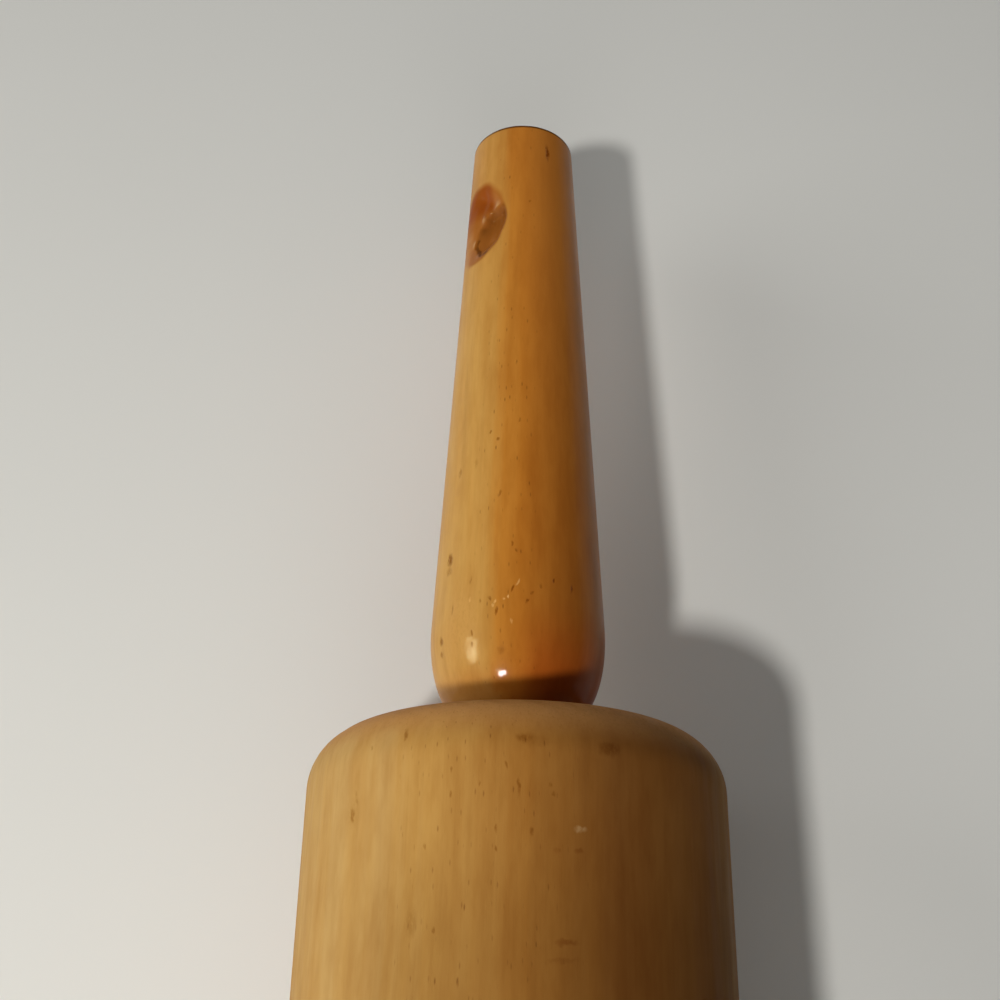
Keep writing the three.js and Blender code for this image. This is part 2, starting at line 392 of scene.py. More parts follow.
def cup_rows():
    """The pressed cup of the right bearing."""
    ball = BARREL_END - BALL_DEPTH
    outer = TRACK + SHEET
    return np.vstack([
        [(ball - outer, CUP_HOLE)],
        arc(ball, PITCH_RADIUS, outer, outer, -90, 0, TRACK_STEPS),
        broken_flange(),
        arc(BARREL_END - CUP_MOUTH, CUP_WALL + CUP_MOUTH, CUP_MOUTH, CUP_MOUTH, 90, 180, MOUTH_STEPS),
        arc(ball, PITCH_RADIUS, TRACK, TRACK, 0, -90, TRACK_STEPS),
        [(ball - TRACK, CUP_HOLE)],
    ])


def broken_flange():
    """The cup's flange, from under its root to its outer face."""
    return np.array([
        (BARREL_END - SHEET, CUP_WALL + SHEET),
        (BARREL_END - SHEET, FLANGE_RADIUS),
        (BARREL_END - BREAK, FLANGE_RADIUS),
        (BARREL_END, FLANGE_RADIUS - BREAK),
    ])


def cone_rows():
    """The cone of the right bearing."""
    ball = BARREL_END - BALL_DEPTH
    flange_radius, flange_thickness = CONE_FLANGE
    flange = ball + TRACK
    hub = BARREL_END + CONE_PROUD
    return np.vstack([
        [(ball - TRACK, CONE_BORE), (ball - TRACK, CONE_TRACK)],
        arc(ball, PITCH_RADIUS, TRACK, -TRACK, 0, 90, TRACK_STEPS),
        [
            (flange, flange_radius - BREAK),
            (flange + BREAK, flange_radius),
            (flange + flange_thickness, flange_radius),
            (hub - BREAK, CONE_HUB),
            (hub, CONE_HUB - BREAK),
            (hub, CONE_BORE),
        ],
    ])


def ring_rows(inner, outer, near, far):
    """A flat ring of the right end, its faces counted from the barrel's end face."""
    return broken([
        (BARREL_END + near, inner),
        (BARREL_END + near, outer),
        (BARREL_END + far, outer),
        (BARREL_END + far, inner),
    ])


# Node trees

LEAST_DASH = 0.3  # strength of the faintest dash
DASH_CORE = 0.2  # share of a dash that has its full strength


class Nodes:
    """Adds nodes to one tree and links them."""

    def __init__(self, tree):
        self.tree = tree

    def add(self, kind, inputs, output=0, **settings):
        """Adds a node with its inputs set or linked, and gives one of its outputs, if it has any."""
        node = self.tree.nodes.new("ShaderNode" + kind)
        for key, value in settings.items():
            setattr(node, key, value)
        for key, value in inputs.items():
            if isinstance(value, bpy.types.NodeSocket):
                self.tree.links.new(value, node.inputs[key])
            else:
                node.inputs[key].default_value = value
        return node.outputs[output] if len(node.outputs) else None

    def math(self, operation, first, second=0.0):
        return self.add("Math", {0: first, 1: second}, operation=operation)

    def vector(self, operation, first, second):
        return self.add("VectorMath", {0: first, 1: second}, operation=operation)

    def noise(self, place, stretch, detail=2.0, roughness=0.5, output="Fac"):
        """Noise with the given number of cells in a millimetre of x, y and z."""
        stretched = self.vector("MULTIPLY", place, stretch)
        inputs = {"Vector": stretched, "Scale": 1.0, "Detail": detail, "Roughness": roughness}
        return self.add("TexNoise", inputs, output)

    def swayed(self, place, stretch, detail, reach):
        """A place shifted by noise, by up to half of the reach each way."""
        noise = self.noise(place, stretch, detail, output="Color")
        shift = self.vector("MULTIPLY", self.vector("SUBTRACT", noise, (0.5, 0.5, 0.5)), reach)
        return self.vector("ADD", place, shift)

    def rise(self, value, start, end, bottom=0.0, top=1.0):
        """Bottom where a value is at the start, top where it is at the end, and smooth between."""
        inputs = {"Value": value, 1: start, 2: end, 3: bottom, 4: top}
        return self.add("MapRange", inputs, interpolation_type="SMOOTHSTEP")

    def blend(self, share, first, second, blend_type="MIX"):
        """A share of the second colour laid on the first."""
        return self.add("Mix", {0: share, 6: first, 7: second}, 2, data_type="RGBA", blend_type=blend_type)

    def tinted(self, colour, value, start, end, strength, tint):
        """A colour multiplied by a tint as a value goes from start to end."""
        share = self.math("MULTIPLY", self.rise(value, start, end), strength)
        return self.blend(share, colour, tint, "MULTIPLY")

    def ramp(self, value, stops):
        """Colours along a value, from pairs of a place and a colour."""
        colour = self.add("ValToRGB", {0: value}, "Color")
        elements = colour.node.color_ramp.elements
        for place, _ in stops[1:-1]:
            elements.new(place)
        for element, (place, tone) in zip(elements, stops):
            element.position = place
            element.color = (*tone, 1)
        return colour

    def dashes(self, place, stretch, reach, kept):
        """Short marks of uneven strength, one in some of the cells of a stretched pattern."""
        stretched = self.vector("MULTIPLY", place, stretch)
        distance = self.add("TexVoronoi", {"Vector": stretched, "Scale": 1.0, "Randomness": 1.0}, "Distance")
        chosen = self.add("SeparateColor", {0: distance.node.outputs["Color"]})
        uneven = self.math("MULTIPLY", chosen.node.outputs["Green"], 1 - LEAST_DASH)
        strength = self.math("ADD", uneven, LEAST_DASH)
        there = self.math("MULTIPLY", self.math("LESS_THAN", chosen, kept), strength)
        return self.math("MULTIPLY", self.rise(distance, reach, reach * DASH_CORE), there)


def new_material(name):
    """A material with an empty tree, and the place on the object in millimetres."""
    material = bpy.data.materials.new(name)
    material.use_nodes = True
    tree = material.node_tree
    tree.nodes.clear()
    nodes = Nodes(tree)
    place = nodes.vector("MULTIPLY", nodes.add("TexCoord", {}, "Object"), (1 / MM, 1 / MM, 1 / MM))
    return material, nodes, place


def finish_material(nodes, **inputs):
    """Adds the shader, whose sockets are given with _ for each space in a name."""
    named = {key.replace("_", " "): value for key, value in inputs.items()}
    shader = nodes.add("BsdfPrincipled", named)
    nodes.add("OutputMaterial", {"Surface": shader})


# Marks on the wood

MARK_START = 1.1  # share of a mark's half size at which it starts
MARK_FULL = 0.3
MARK_REACH = 1.5  # half size of a mark into the wood
MARK_SWAY = ((0.9, 1.5, 1.5), 3.0, (1.0, 0.6, 0.6))  # cells in a millimetre, detail and reach
MARK_GAPS = ((1.6, 2.6, 2.6), 3.0, 0.6)  # cells in a millimetre, detail and roughness
MARK_THINNING = (0.3, 0.55, 0.4, 1.0)  # start and end of that noise, and what is left of a mark at both


def mark_group():
    """A soft oval mark: 1 at its middle and 0 outside."""
    tree = bpy.data.node_groups.new("mark", "ShaderNodeTree")
    nodes = Nodes(tree)
    for name in ("Place", "Middle", "Turn", "Size"):
        tree.interface.new_socket(name, in_out="INPUT", socket_type="NodeSocketVector")
    tree.interface.new_socket("Share", in_out="OUTPUT", socket_type="NodeSocketFloat")
    given = tree.nodes.new("NodeGroupInput").outputs
    inputs = {
        "Vector": given["Place"],
        "Location": given["Middle"],
        "Rotation": given["Turn"],
        "Scale": given["Size"],
    }
    local = nodes.add("Mapping", inputs, vector_type="TEXTURE")
    length = nodes.add("VectorMath", {0: local}, "Value", operation="LENGTH")
    share = nodes.rise(length, MARK_START, MARK_FULL)
    tree.links.new(share, tree.nodes.new("NodeGroupOutput").inputs[0])
    return tree


MARK = mark_group()


def marks(nodes, place, radius_at, listed):
    """Adds up marks given as x, angle, length, width, slant in degrees, and strength."""
    moved = nodes.swayed(place, *MARK_SWAY)
    total = 0.0
    for x, angle, length, width, slant, strength in listed:
        turn = math.radians(angle)
        radius = radius_at(x)
        upright = Matrix.Rotation(-turn, 3, "X") @ Matrix.Rotation(math.radians(slant), 3, "Z")
        inputs = {
            "Place": moved,
            "Middle": (x, radius * math.sin(turn), AXIS_HEIGHT + radius * math.cos(turn)),
            "Turn": tuple(upright.to_euler()),
            "Size": (length / 2, width / 2, MARK_REACH),
        }
        share = nodes.add("Group", inputs, node_tree=MARK)
        total = nodes.math("ADD", total, nodes.math("MULTIPLY", share, strength))
    ragged = nodes.rise(nodes.noise(place, *MARK_GAPS), *MARK_THINNING)
    return nodes.math("MULTIPLY", nodes.math("MINIMUM", total, 1.0), ragged)


BARREL_STAINS = (
    (118.8, -1, 1.5, 2.4, 0, 0.65),
    (118.4, -4, 1.8, 5.0, 0, 0.25),
    (118.0, -22, 2.2, 3.6, 0, 0.7),
    (111.0, 44, 1.9, 1.0, 12, 0.65),
    (111.2, 44, 4.5, 3.2, 0, 0.25),
    (113.0, 43, 2.4, 0.6, 20, 0.35),
    (119.8, 29, 2.0, 0.7, 5, 0.85),
    (118.6, 39, 0.9, 0.5, 0, 0.6),
    (113.1, 0, 2.6, 0.4, 0, 0.8),
    (115.5, 3, 1.3, 0.5, 20, 0.7),
    (112.4, -8, 0.8, 0.6, 0, 0.6),
    (113.5, -7.5, 0.8, 0.6, 0, 0.6),
    (112.4, 16, 1.0, 0.4, 0, 0.75),
    (115.1, 16, 0.8, 0.4, 0, 0.6),
    (113.4, 9, 0.8, 0.4, 0, 0.6),
    (108.4, 5, 1.5, 0.4, 0, 0.8),
    (106.3, 5, 1.1, 0.4, 10, 0.8),
    (108.2, -3, 1.2, 0.5, 0, 0.7),
    (106.8, 22, 1.0, 0.4, 0, 0.6),
    (98.6, 24.5, 4.0, 1.8, 0, 0.38),
    (97.8, 19, 0.9, 0.4, 0, 0.7),
    (92.5, 13, 1.2, 0.4, 0, 0.7),
)
BARREL_RED_SPOTS = (
    (96.6, -11, 1.0, 3.2, 0, 0.8),
    (94.8, -10, 0.8, 4.6, 4, 0.4),
    (106.3, -14, 0.9, 1.3, 0, 0.7),
    (106.2, -9, 0.8, 1.2, 0, 0.5),
)
BARREL_PALE_SPOTS = ((108.6, -14.5, 0.8, 1.8, 0, 0.6),)
# Painted sheen: a broad pale patch beside the highlight on the handle's nose
HANDLE_SHEEN_SPOTS = ((138.5, 40, 15, 8, 0, 0.42),)
HANDLE_FLECKS = (
    (220.1, -27.5, 3.8, 0.85, 0, 1.0),
    (148.6, 54, 2.6, 1.5, 8, 1.0),
    (146.8, 54, 1.6, 1.6, 0, 0.5),
    (149.3, 5, 0.9, 0.45, 0, 0.9),
    (148.4, 2, 0.7, 0.4, 30, 0.6),
    (144.1, -23, 1.1, 0.4, 0, 0.9),
    (143.5, -36, 1.6, 0.5, -12, 0.85),
    (143.2, -14, 0.9, 0.35, 0, 0.5),
    (142.7, 4, 1.3, 0.5, -25, 0.8),
    (141.3, 19, 0.9, 0.45, 30, 0.7),
    (139.5, 14, 1.5, 0.45, 0, 0.8),
    (142.1, -8, 0.8, 0.45, -30, 0.7),
    (140.9, -5, 1.0, 0.5, -20, 0.9),
    (141.2, 25, 1.0, 0.4, 0, 0.5),
    (144.5, 33, 1.6, 0.4, 0, 0.4),
    (140.8, 47, 1.8, 0.5, 0, 0.5),
    (136.8, 31, 1.1, 0.4, 0, 0.8),
    (135.3, 31, 0.7, 0.5, 0, 0.7),
    (136.9, 59, 1.8, 1.2, 0, 0.8),
    (135.1, 60, 1.1, 1.1, 0, 0.7),
    (134.2, 11, 1.6, 1.6, 0, 0.4),
    (167.3, 23, 0.8, 0.4, 0, 0.7),
    (165.9, 17, 0.6, 0.5, 0, 0.7),
    (169.1, 1, 1.2, 0.4, 0, 0.5),
    (161.9, 50, 1.8, 1.0, 0, 0.5),
    (162.7, 34, 2.2, 0.8, 0, 0.3),
    (157.2, 14, 1.3, 0.5, -15, 0.6),
    (209.3, -7, 0.7, 0.6, 0, 0.5),
)
# Painted glints: small pale specks among the flecks, where light catches the lacquer
HANDLE_GLINTS = (
    (143.6, 1, 1.2, 0.4, -25, 0.6),
    (141.2, 9.5, 0.6, 0.4, -15, 0.7),
    (141.4, 6.9, 0.5, 0.4, 0, 0.8),
    (140.8, 15.6, 0.7, 0.4, -15, 0.7),
    (140.3, 16.6, 0.6, 0.4, 0, 0.5),
    (141.6, 33.3, 0.9, 0.4, -20, 0.4),
    (138.1, 4.7, 0.9, 0.4, 0, 0.4),
)
# The barrel's layers of marks: the list, its strength, its tint and how the tint is laid on
BARREL_MARKS = (
    (BARREL_STAINS, 0.8, (0.5, 0.33, 0.08, 1), "MULTIPLY"),
    (BARREL_RED_SPOTS, 0.75, (0.66, 0.46, 0.3, 1), "MULTIPLY"),
    (BARREL_PALE_SPOTS, 0.5, (0.62, 0.42, 0.2, 1), "MIX"),
)
# Tone of the painted sheen
PAINTED_SHEEN_TONE = (0.66, 0.36, 0.1, 1)
FLECK_TINT = (0.44, 0.29, 0.04, 1)
# Tone of the painted glints
GLINT_TONE = (0.85, 0.5, 0.16, 1)


def handle_radius_at(x):
    """Radius of the handle, taken as full along its nose."""
    share = (x - HANDLE_START - NOSE_LENGTH) / (HANDLE_END - HANDLE_START - NOSE_LENGTH)
    return HANDLE_RADIUS + min(1, max(0, share)) * (TIP_RADIUS - HANDLE_RADIUS)


def barrel_radius_at(x):
    """Radius of the barrel, taken as the same everywhere."""
    return BARREL_RADIUS


# Beech, with its grain along X

SEED_WAY = (1, 0.7, 1.3)  # along which a seed shifts the grain
# Noise of the grain: cells in a millimetre of x, y and z, detail and roughness
BROAD_NOISE = ((0.005, 0.17, 0.17), 3.0, 0.6)
STREAK_NOISE = ((0.008, 0.55, 0.55), 3.0, 0.55)
FIBRE_NOISE = ((0.05, 2.1, 2.1), 4.0, 0.7)
CLOUD_NOISE = ((0.05, 0.16, 0.16), 4.0, 0.6)
BLOTCH_NOISE = ((0.14, 0.6, 0.6), 3.0, 0.6)
GRAIN_SWAY = ((0.01, 0.04, 0.04), 2.0, (0.0, 5.0, 5.0))  # cells in a millimetre, detail and reach
# Darker layers: values of the noise where they start and are full, strength and tint
STREAK_LAYER = (0.38, 0.75, 0.2, (0.72, 0.62, 0.5, 1))
FIBRE_LAYER = (0.42, 0.75, 0.12, (0.66, 0.54, 0.42, 1))
CLOUD_LAYER = (0.4, 0.72, 0.45, (0.8, 0.68, 0.54, 1))
BLOTCH_LAYER = (0.35, 0.7, 0.38, (0.78, 0.68, 0.55, 1))
# What picks the tone: the side round the pin, the broad noise and a constant
PALE_SIDE_SHARE = 0.5
BROAD_SHARE = 0.24
MIDDLE_SHADE = 0.38
GRAIN_PORES = ((0.5, 1.7, 1.7), 0.25, 0.5)  # cells in a millimetre, reach and share that is kept
PORES_EVERYWHERE = 0.05
MORE_PORES = 0.6  # where the rings lie flat
FLAT_RANGE = (0.88, 0.985)  # cosines from the flat side where there are more, and where there are most
FIBRE_HEIGHT = 0.35  # in the bump, against the pores
# Cut faces: a strength has the start and end of what sets it, and its own values there
RING_TURN = 2.4  # radians of the rings' wave in a millimetre
RING_SWAY = 4.0
RING_SWAY_NOISE = ((0.0, 0.1, 0.1), 3.0)
RING_STRENGTH = (0.7, 1.0, 0.1, 0.7)
RING_TINT = (0.8, 0.72, 0.6, 1)
CUT_PORE_NOISE = ((0.0, 3.2, 3.2), 2.0)
CUT_PORE_STRENGTH = (0.55, 0.72, 0.0, 0.45)
CUT_PORE_TINT = (0.6, 0.46, 0.34, 1)
SPECK_NOISE = ((2.4, 2.4, 2.4), 3.0)
SPECK_STRENGTH = (0.3, 0.75, 0.8, 1.0)


def facing(nodes, spoke, turn):
    """1 at an angle round the pin, and -1 opposite."""
    way = (0, math.sin(turn), math.cos(turn))
    return nodes.add("VectorMath", {0: spoke, 1: way}, "Value", operation="DOT_PRODUCT")


def beech(nodes, place, seed, pale_turn, flat_turn, tones, pore_tone):
    """Colour and height of beech.

    It is palest towards one angle round the pin, and shows most pores where its rings lie flat, at another.
    """
    moved = nodes.vector("ADD", place, tuple(seed * share for share in SEED_WAY))
    swayed = nodes.swayed(moved, *GRAIN_SWAY)
    spoke = nodes.vector("MULTIPLY", nodes.vector("SUBTRACT", place, (0, 0, AXIS_HEIGHT)), (0, 1, 1))
    spoke = nodes.add("VectorMath", {0: spoke}, operation="NORMALIZE")
    # On the barrel this paler side is partly painted light, and the darker side opposite is partly painted
    # shade
    paleness = nodes.math("MULTIPLY", facing(nodes, spoke, pale_turn), PALE_SIDE_SHARE)
    flatness = nodes.rise(nodes.math("ABSOLUTE", facing(nodes, spoke, flat_turn)), *FLAT_RANGE)

    broad = nodes.math("MULTIPLY", nodes.noise(swayed, *BROAD_NOISE), BROAD_SHARE)
    shade = nodes.math("ADD", paleness, broad)
    colour = nodes.ramp(nodes.math("ADD", shade, MIDDLE_SHADE), tones)
    colour = nodes.tinted(colour, nodes.noise(swayed, *STREAK_NOISE), *STREAK_LAYER)
    fibre = nodes.noise(swayed, *FIBRE_NOISE)
    colour = nodes.tinted(colour, fibre, *FIBRE_LAYER)
    colour = nodes.tinted(colour, nodes.noise(moved, *CLOUD_NOISE), *CLOUD_LAYER)
    colour = nodes.tinted(colour, nodes.noise(swayed, *BLOTCH_NOISE), *BLOTCH_LAYER)

    shown = nodes.math("ADD", nodes.math("MULTIPLY", flatness, MORE_PORES), PORES_EVERYWHERE)
    pores = nodes.math("MULTIPLY", nodes.dashes(swayed, *GRAIN_PORES), shown)
    colour = nodes.blend(pores, colour, pore_tone)
    height = nodes.math("SUBTRACT", nodes.math("MULTIPLY", fibre, FIBRE_HEIGHT), pores)
    return colour, height


def spoke_length(nodes, place, middle):
    """Distance from a line along X through a middle given as y and z."""
    spoke = nodes.vector("MULTIPLY", nodes.vector("SUBTRACT", place, (0, *middle)), (0, 1, 1))
    return nodes.add("VectorMath", {0: spoke}, "Value", operation="LENGTH")


def end_grain(nodes, place, colour, tone, start, end, pith):
    """Growth rings about the pith and pores, on the faces that cut across the grain."""
    normal = nodes.add("SeparateXYZ", {0: nodes.add("TexCoord", {}, "Normal")}, "X")
    steepness = nodes.math("ABSOLUTE", normal)
    across = nodes.rise(steepness, start, end)
    sway = nodes.math("MULTIPLY", nodes.noise(place, *RING_SWAY_NOISE), RING_SWAY)
    distance = nodes.math("ADD", spoke_length(nodes, place, pith), sway)
    ring = nodes.rise(nodes.math("SINE", nodes.math("MULTIPLY", distance, RING_TURN)), 0.0, 1.0)
    ring = nodes.math("MULTIPLY", ring, nodes.rise(steepness, *RING_STRENGTH))
    cut = nodes.blend(ring, tone, RING_TINT, "MULTIPLY")
    pores = nodes.rise(nodes.noise(place, *CUT_PORE_NOISE), *CUT_PORE_STRENGTH)
    cut = nodes.blend(pores, cut, CUT_PORE_TINT, "MULTIPLY")
    speck = nodes.rise(nodes.noise(place, *SPECK_NOISE), *SPECK_STRENGTH)
    return nodes.blend(nodes.math("MULTIPLY", across, speck), colour, cut)


# The barrel's wood: seed of its grain, its pale side, which is partly painted light, and the side where its
# rings lie flat
BARREL_GRAIN = (0, math.radians(60), math.radians(7))
# Its tones: the stops at 0.3 and 0.55, away from the pale side, are darkened as painted shade, and the palest
# stops are partly painted light
BARREL_TONES_AND_SHADE = (
    (0.0, (0.48, 0.26, 0.075)),
    (0.3, (0.24, 0.1, 0.02)),
    (0.55, (0.24, 0.096, 0.021)),
    (0.75, (0.415, 0.185, 0.036)),
    (0.92, (0.54, 0.295, 0.075)),
    (1.0, (0.55, 0.335, 0.112)),
)
BARREL_PORE_TONE = (0.2, 0.07, 0.012, 1)
BARREL_CUT = ((0.62, 0.293, 0.092, 1), 0.2, 0.9, (-38, 12))  # tone, steepness where it starts and ends, pith
# Painted shade: the barrel's middle darker everywhere but on its left side
PAINTED_SHADE_TINT = (0.78, 0.76, 0.72, 1)
PAINTED_SHADE_X = (113, 93)  # distances from the middle where it starts and where it is full
PAINTED_SHADE_Y = (25, 10)  # the same for y
# Roughness: its noise, and the start and end of that noise with the roughness at both
BARREL_ROUGH_NOISE = ((0.05, 0.7, 0.7), 3.0)
BARREL_ROUGHNESS = (0.3, 0.7, 0.52, 0.68)


def raw_beech():
    """Sanded wood without a finish: matt, with open pores, kitchen stains and painted shade over its middle
    except on the left.
    """
    material, nodes, place = new_material("raw_beech")
    colour, height = beech(nodes, place, *BARREL_GRAIN, BARREL_TONES_AND_SHADE, BARREL_PORE_TONE)
    colour = end_grain(nodes, place, colour, *BARREL_CUT)
    parts = nodes.add("SeparateXYZ", {0: place}, "X").node.outputs
    # Painted shade over the middle of the barrel, except on its left side
    shaded = nodes.rise(nodes.math("ABSOLUTE", parts["X"]), *PAINTED_SHADE_X)
    shaded = nodes.math("MULTIPLY", shaded, nodes.rise(parts["Y"], *PAINTED_SHADE_Y))
    colour = nodes.blend(shaded, colour, PAINTED_SHADE_TINT, "MULTIPLY")
    for listed, strength, tint, blend_type in BARREL_MARKS:
        share = nodes.math("MULTIPLY", marks(nodes, place, barrel_radius_at, listed), strength)
        colour = nodes.blend(share, colour, tint, blend_type)
    roughness = nodes.rise(nodes.noise(place, *BARREL_ROUGH_NOISE), *BARREL_ROUGHNESS)
    bump = nodes.add("Bump", {"Strength": 0.35, "Distance": 0.00012, "Height": height})
    finish_material(
        nodes,
        Base_Color=colour,
        Roughness=roughness,
        Normal=bump,
        Specular_IOR_Level=0.06,
        IOR=1.45,
    )
    return material


# The handles' wood, given as the barrel's is
RIGHT_GRAIN = (40, math.radians(60), math.radians(10))
LEFT_GRAIN = (90, math.radians(25), math.radians(40))
HANDLE_TONES = (
    (0.0, (0.52, 0.19, 0.025)),
    (0.5, (0.50, 0.165, 0.02)),
    (0.76, (0.575, 0.21, 0.025)),
    (0.845, (0.585, 0.235, 0.033)),
    (0.9, (0.60, 0.30, 0.064)),
    (1.0, (0.60, 0.335, 0.088)),
)
HANDLE_PORE_TONE = (0.13, 0.035, 0.006, 1)
HANDLE_CUT = ((0.34, 0.125, 0.022, 1), 0.6, 1.0, (14, 10))
ALL_ROUND = (-100, -99)  # a range of y that every place has passed
# Zones of another tone, among them painted light and painted shade: range of x from the middle, range of y,
# strength, tint and how it is laid on
HANDLE_ZONES = (
    # Painted light: the right side paler and brighter towards the tip
    ((160, 215), (4, -5), 0.4, (0.8, 0.29, 0.045, 1), "MIX"),
    ((190, 215), (0, 3), 1.0, (0.96, 0.88, 0.8, 1), "MULTIPLY"),
    # Painted shade: the nose darker and redder all round next to the barrel, where its shadow falls
    ((HANDLE_START + 6, HANDLE_START + 2), ALL_ROUND, 0.4, (0.36, 0.085, 0.009, 1), "MIX"),
    # Painted shade: the right side of the nose darker
    ((144, 131), (2, -4), 1.0, (0.87, 0.6, 0.52, 1), "MULTIPLY"),
)
# Painted shade: a dark line round each handle's tip, on the edge that turns away from the light
RIM_SHADE_TONE = (0.09, 0.03, 0.008, 1)
RIM_STRENGTH = 0.9
RIM_INWARD = (1.5, 0.7)  # depths below the tip's edge where the dark rim starts and where it is full
RIM_BACK = (0.7, 0.4)  # the same behind the tip's face
LEFT_FLECKS = ((0.3, 0.8, 0.8), 0.2, 0.16)  # cells in a millimetre, reach and share that is kept
HANDLE_ROUGH_NOISE = ((0.08, 0.3, 0.3), 3.0)
HANDLE_ROUGHNESS = (0.3, 0.7, 0.3, 0.42)
# The palest of these tones is the cream of the painted glint on the crests
SCAR_TONES = (
    (0.0, (0.62, 0.36, 0.15)),
    (0.2, (0.38, 0.128, 0.02)),
    (0.6, (0.205, 0.064, 0.008)),
    (1.0, (0.05, 0.011, 0.002)),
)
SCAR_RED_TONE = (0.27, 0.055, 0.004, 1)
SCAR_RED_STRENGTH = 0.9
SCAR_MOTTLE_TONE = (0.29, 0.09, 0.012, 1)
SCAR_MOTTLE_NOISE = ((0.6, 0.6, 0.6), 3.0)
SCAR_MOTTLE_STRENGTH = (0.4, 0.7, 0.0, 0.3)
CRUMB_NOISE = ((2.5, 2.5, 2.5), 2.0)
FILM_NOISE = ((0.25, 0.5, 0.5), 4.0, 0.72)
FLECK_DEPTH = 2.5  # of a fleck in the wood, against the pores
CRUMB_HEIGHT = 0.45  # of the crumbs in the scar, against the waves of the lacquer


def with_scar(nodes, place, colour):
    """The colour with the scar laid over it, and the scar's share."""
    hollow = nodes.add("Attribute", {}, "Fac", attribute_name="scar")
    shade = nodes.add("Attribute", {}, "Fac", attribute_name="scar_shade")
    red = nodes.add("Attribute", {}, "Fac", attribute_name="scar_red")
    redness = nodes.math("MULTIPLY", red, SCAR_RED_STRENGTH)
    inner = nodes.blend(redness, nodes.ramp(shade, SCAR_TONES), SCAR_RED_TONE)
    mottle = nodes.rise(nodes.noise(place, *SCAR_MOTTLE_NOISE), *SCAR_MOTTLE_STRENGTH)
    inner = nodes.blend(mottle, inner, SCAR_MOTTLE_TONE)
    return nodes.blend(hollow, colour, inner), hollow


def lacquered_beech(name, seed, pale_turn, flat_turn, photographed):
    """Wood under a clear gloss lacquer that has deepened its colour."""
    material, nodes, place = new_material(name)
    colour, height = beech(nodes, place, seed, pale_turn, flat_turn, HANDLE_TONES, HANDLE_PORE_TONE)
    colour = end_grain(nodes, place, colour, *HANDLE_CUT)
    parts = nodes.add("SeparateXYZ", {0: place}, "X").node.outputs
    x = nodes.math("ABSOLUTE", parts["X"])
    for x_range, y_range, strength, tint, blend_type in HANDLE_ZONES:
        along = nodes.rise(x, *x_range, 0.0, strength)
        share = nodes.math("MULTIPLY", along, nodes.rise(parts["Y"], *y_range))
        colour = nodes.blend(share, colour, tint, blend_type)
    waves = nodes.noise(place, *FILM_NOISE)
    if photographed:
        # Painted sheen: a pale patch beside the highlight on the nose
        sheen = marks(nodes, place, handle_radius_at, HANDLE_SHEEN_SPOTS)
        colour = nodes.blend(sheen, colour, PAINTED_SHEEN_TONE)
        flecks = marks(nodes, place, handle_radius_at, HANDLE_FLECKS)
        colour = nodes.blend(flecks, colour, FLECK_TINT, "MULTIPLY")
        # Painted glints: pale specks among the flecks
        glints = marks(nodes, place, handle_radius_at, HANDLE_GLINTS)
        colour = nodes.blend(glints, colour, GLINT_TONE)
        colour, hollow = with_scar(nodes, place, colour)
        height = nodes.math("SUBTRACT", height, nodes.math("MULTIPLY", flecks, FLECK_DEPTH))
        crumbs = nodes.math("MULTIPLY", nodes.noise(place, *CRUMB_NOISE), hollow)
        waves = nodes.math("ADD", waves, nodes.math("MULTIPLY", crumbs, CRUMB_HEIGHT))
    else:
        flecks = nodes.dashes(place, *LEFT_FLECKS)
        colour = nodes.blend(flecks, colour, FLECK_TINT, "MULTIPLY")
    # Painted shade: a dark line round the tip's edge
    outward = spoke_length(nodes, place, (0, AXIS_HEIGHT))
    edge = nodes.rise(outward, *(TIP_RADIUS - depth for depth in RIM_INWARD))
    rim_shade = nodes.rise(x, *(HANDLE_END - depth for depth in RIM_BACK), 0.0, RIM_STRENGTH)
    colour = nodes.blend(nodes.math("MULTIPLY", rim_shade, edge), colour, RIM_SHADE_TONE)
    roughness = nodes.rise(nodes.noise(place, *HANDLE_ROUGH_NOISE), *HANDLE_ROUGHNESS)
    bump = nodes.add("Bump", {"Strength": 0.22, "Distance": 0.0001, "Height": height})
    film = nodes.add("Bump", {"Strength": 0.18, "Distance": 0.0004, "Height": waves})
    if photographed:
        pits = nodes.math("SUBTRACT", 1.0, flecks)
        film = nodes.add("Bump", {"Strength": 0.7, "Distance": 0.0003, "Height": pits, "Normal": film})
    finish_material(
        nodes,
        Base_Color=colour,
        Roughness=roughness,
        Normal=bump,
        Coat_Normal=film,
        Specular_IOR_Level=0.04,
        Coat_Weight=0.18,
        Coat_Roughness=0.07,
        Coat_IOR=1.5,
        IOR=1.45,
    )
    return material


# Steel and floor: two tones, and for steel the cells of its turning marks in a millimetre, and its roughness
PLATED_STEEL = ((0.62, 0.61, 0.57, 1), (0.5, 0.49, 0.46, 1), (0.6, 2.5, 2.5), 0.36)
BRIGHT_STEEL = ((0.66, 0.66, 0.67, 1), (0.55, 0.55, 0.56, 1), (0.05, 1.8, 1.8), 0.24)
FLOOR_TONES = ((0.80, 0.795, 0.75, 1), (0.825, 0.82, 0.775, 1))


def steel(name, tone, worn, scratch, coarse):
    """Bare or plated steel, with turning marks round its axis and a mottled surface."""
    material, nodes, place = new_material(name)
    cloud = nodes.noise(place, (0.35, 0.35, 0.35), 4.0, 0.6)
    colour = nodes.blend(nodes.rise(cloud, 0.35, 0.7), tone, worn)
    lines = nodes.noise(place, scratch, 4.0, 0.7)
    roughness = nodes.rise(lines, 0.25, 0.75, coarse - 0.08, coarse + 0.12)
    bump = nodes.add("Bump", {"Strength": 0.15, "Distance": 0.00003, "Height": lines})
    finish_material(nodes, Base_Color=colour, Metallic=1.0, Roughness=roughness, Normal=bump)
    return material


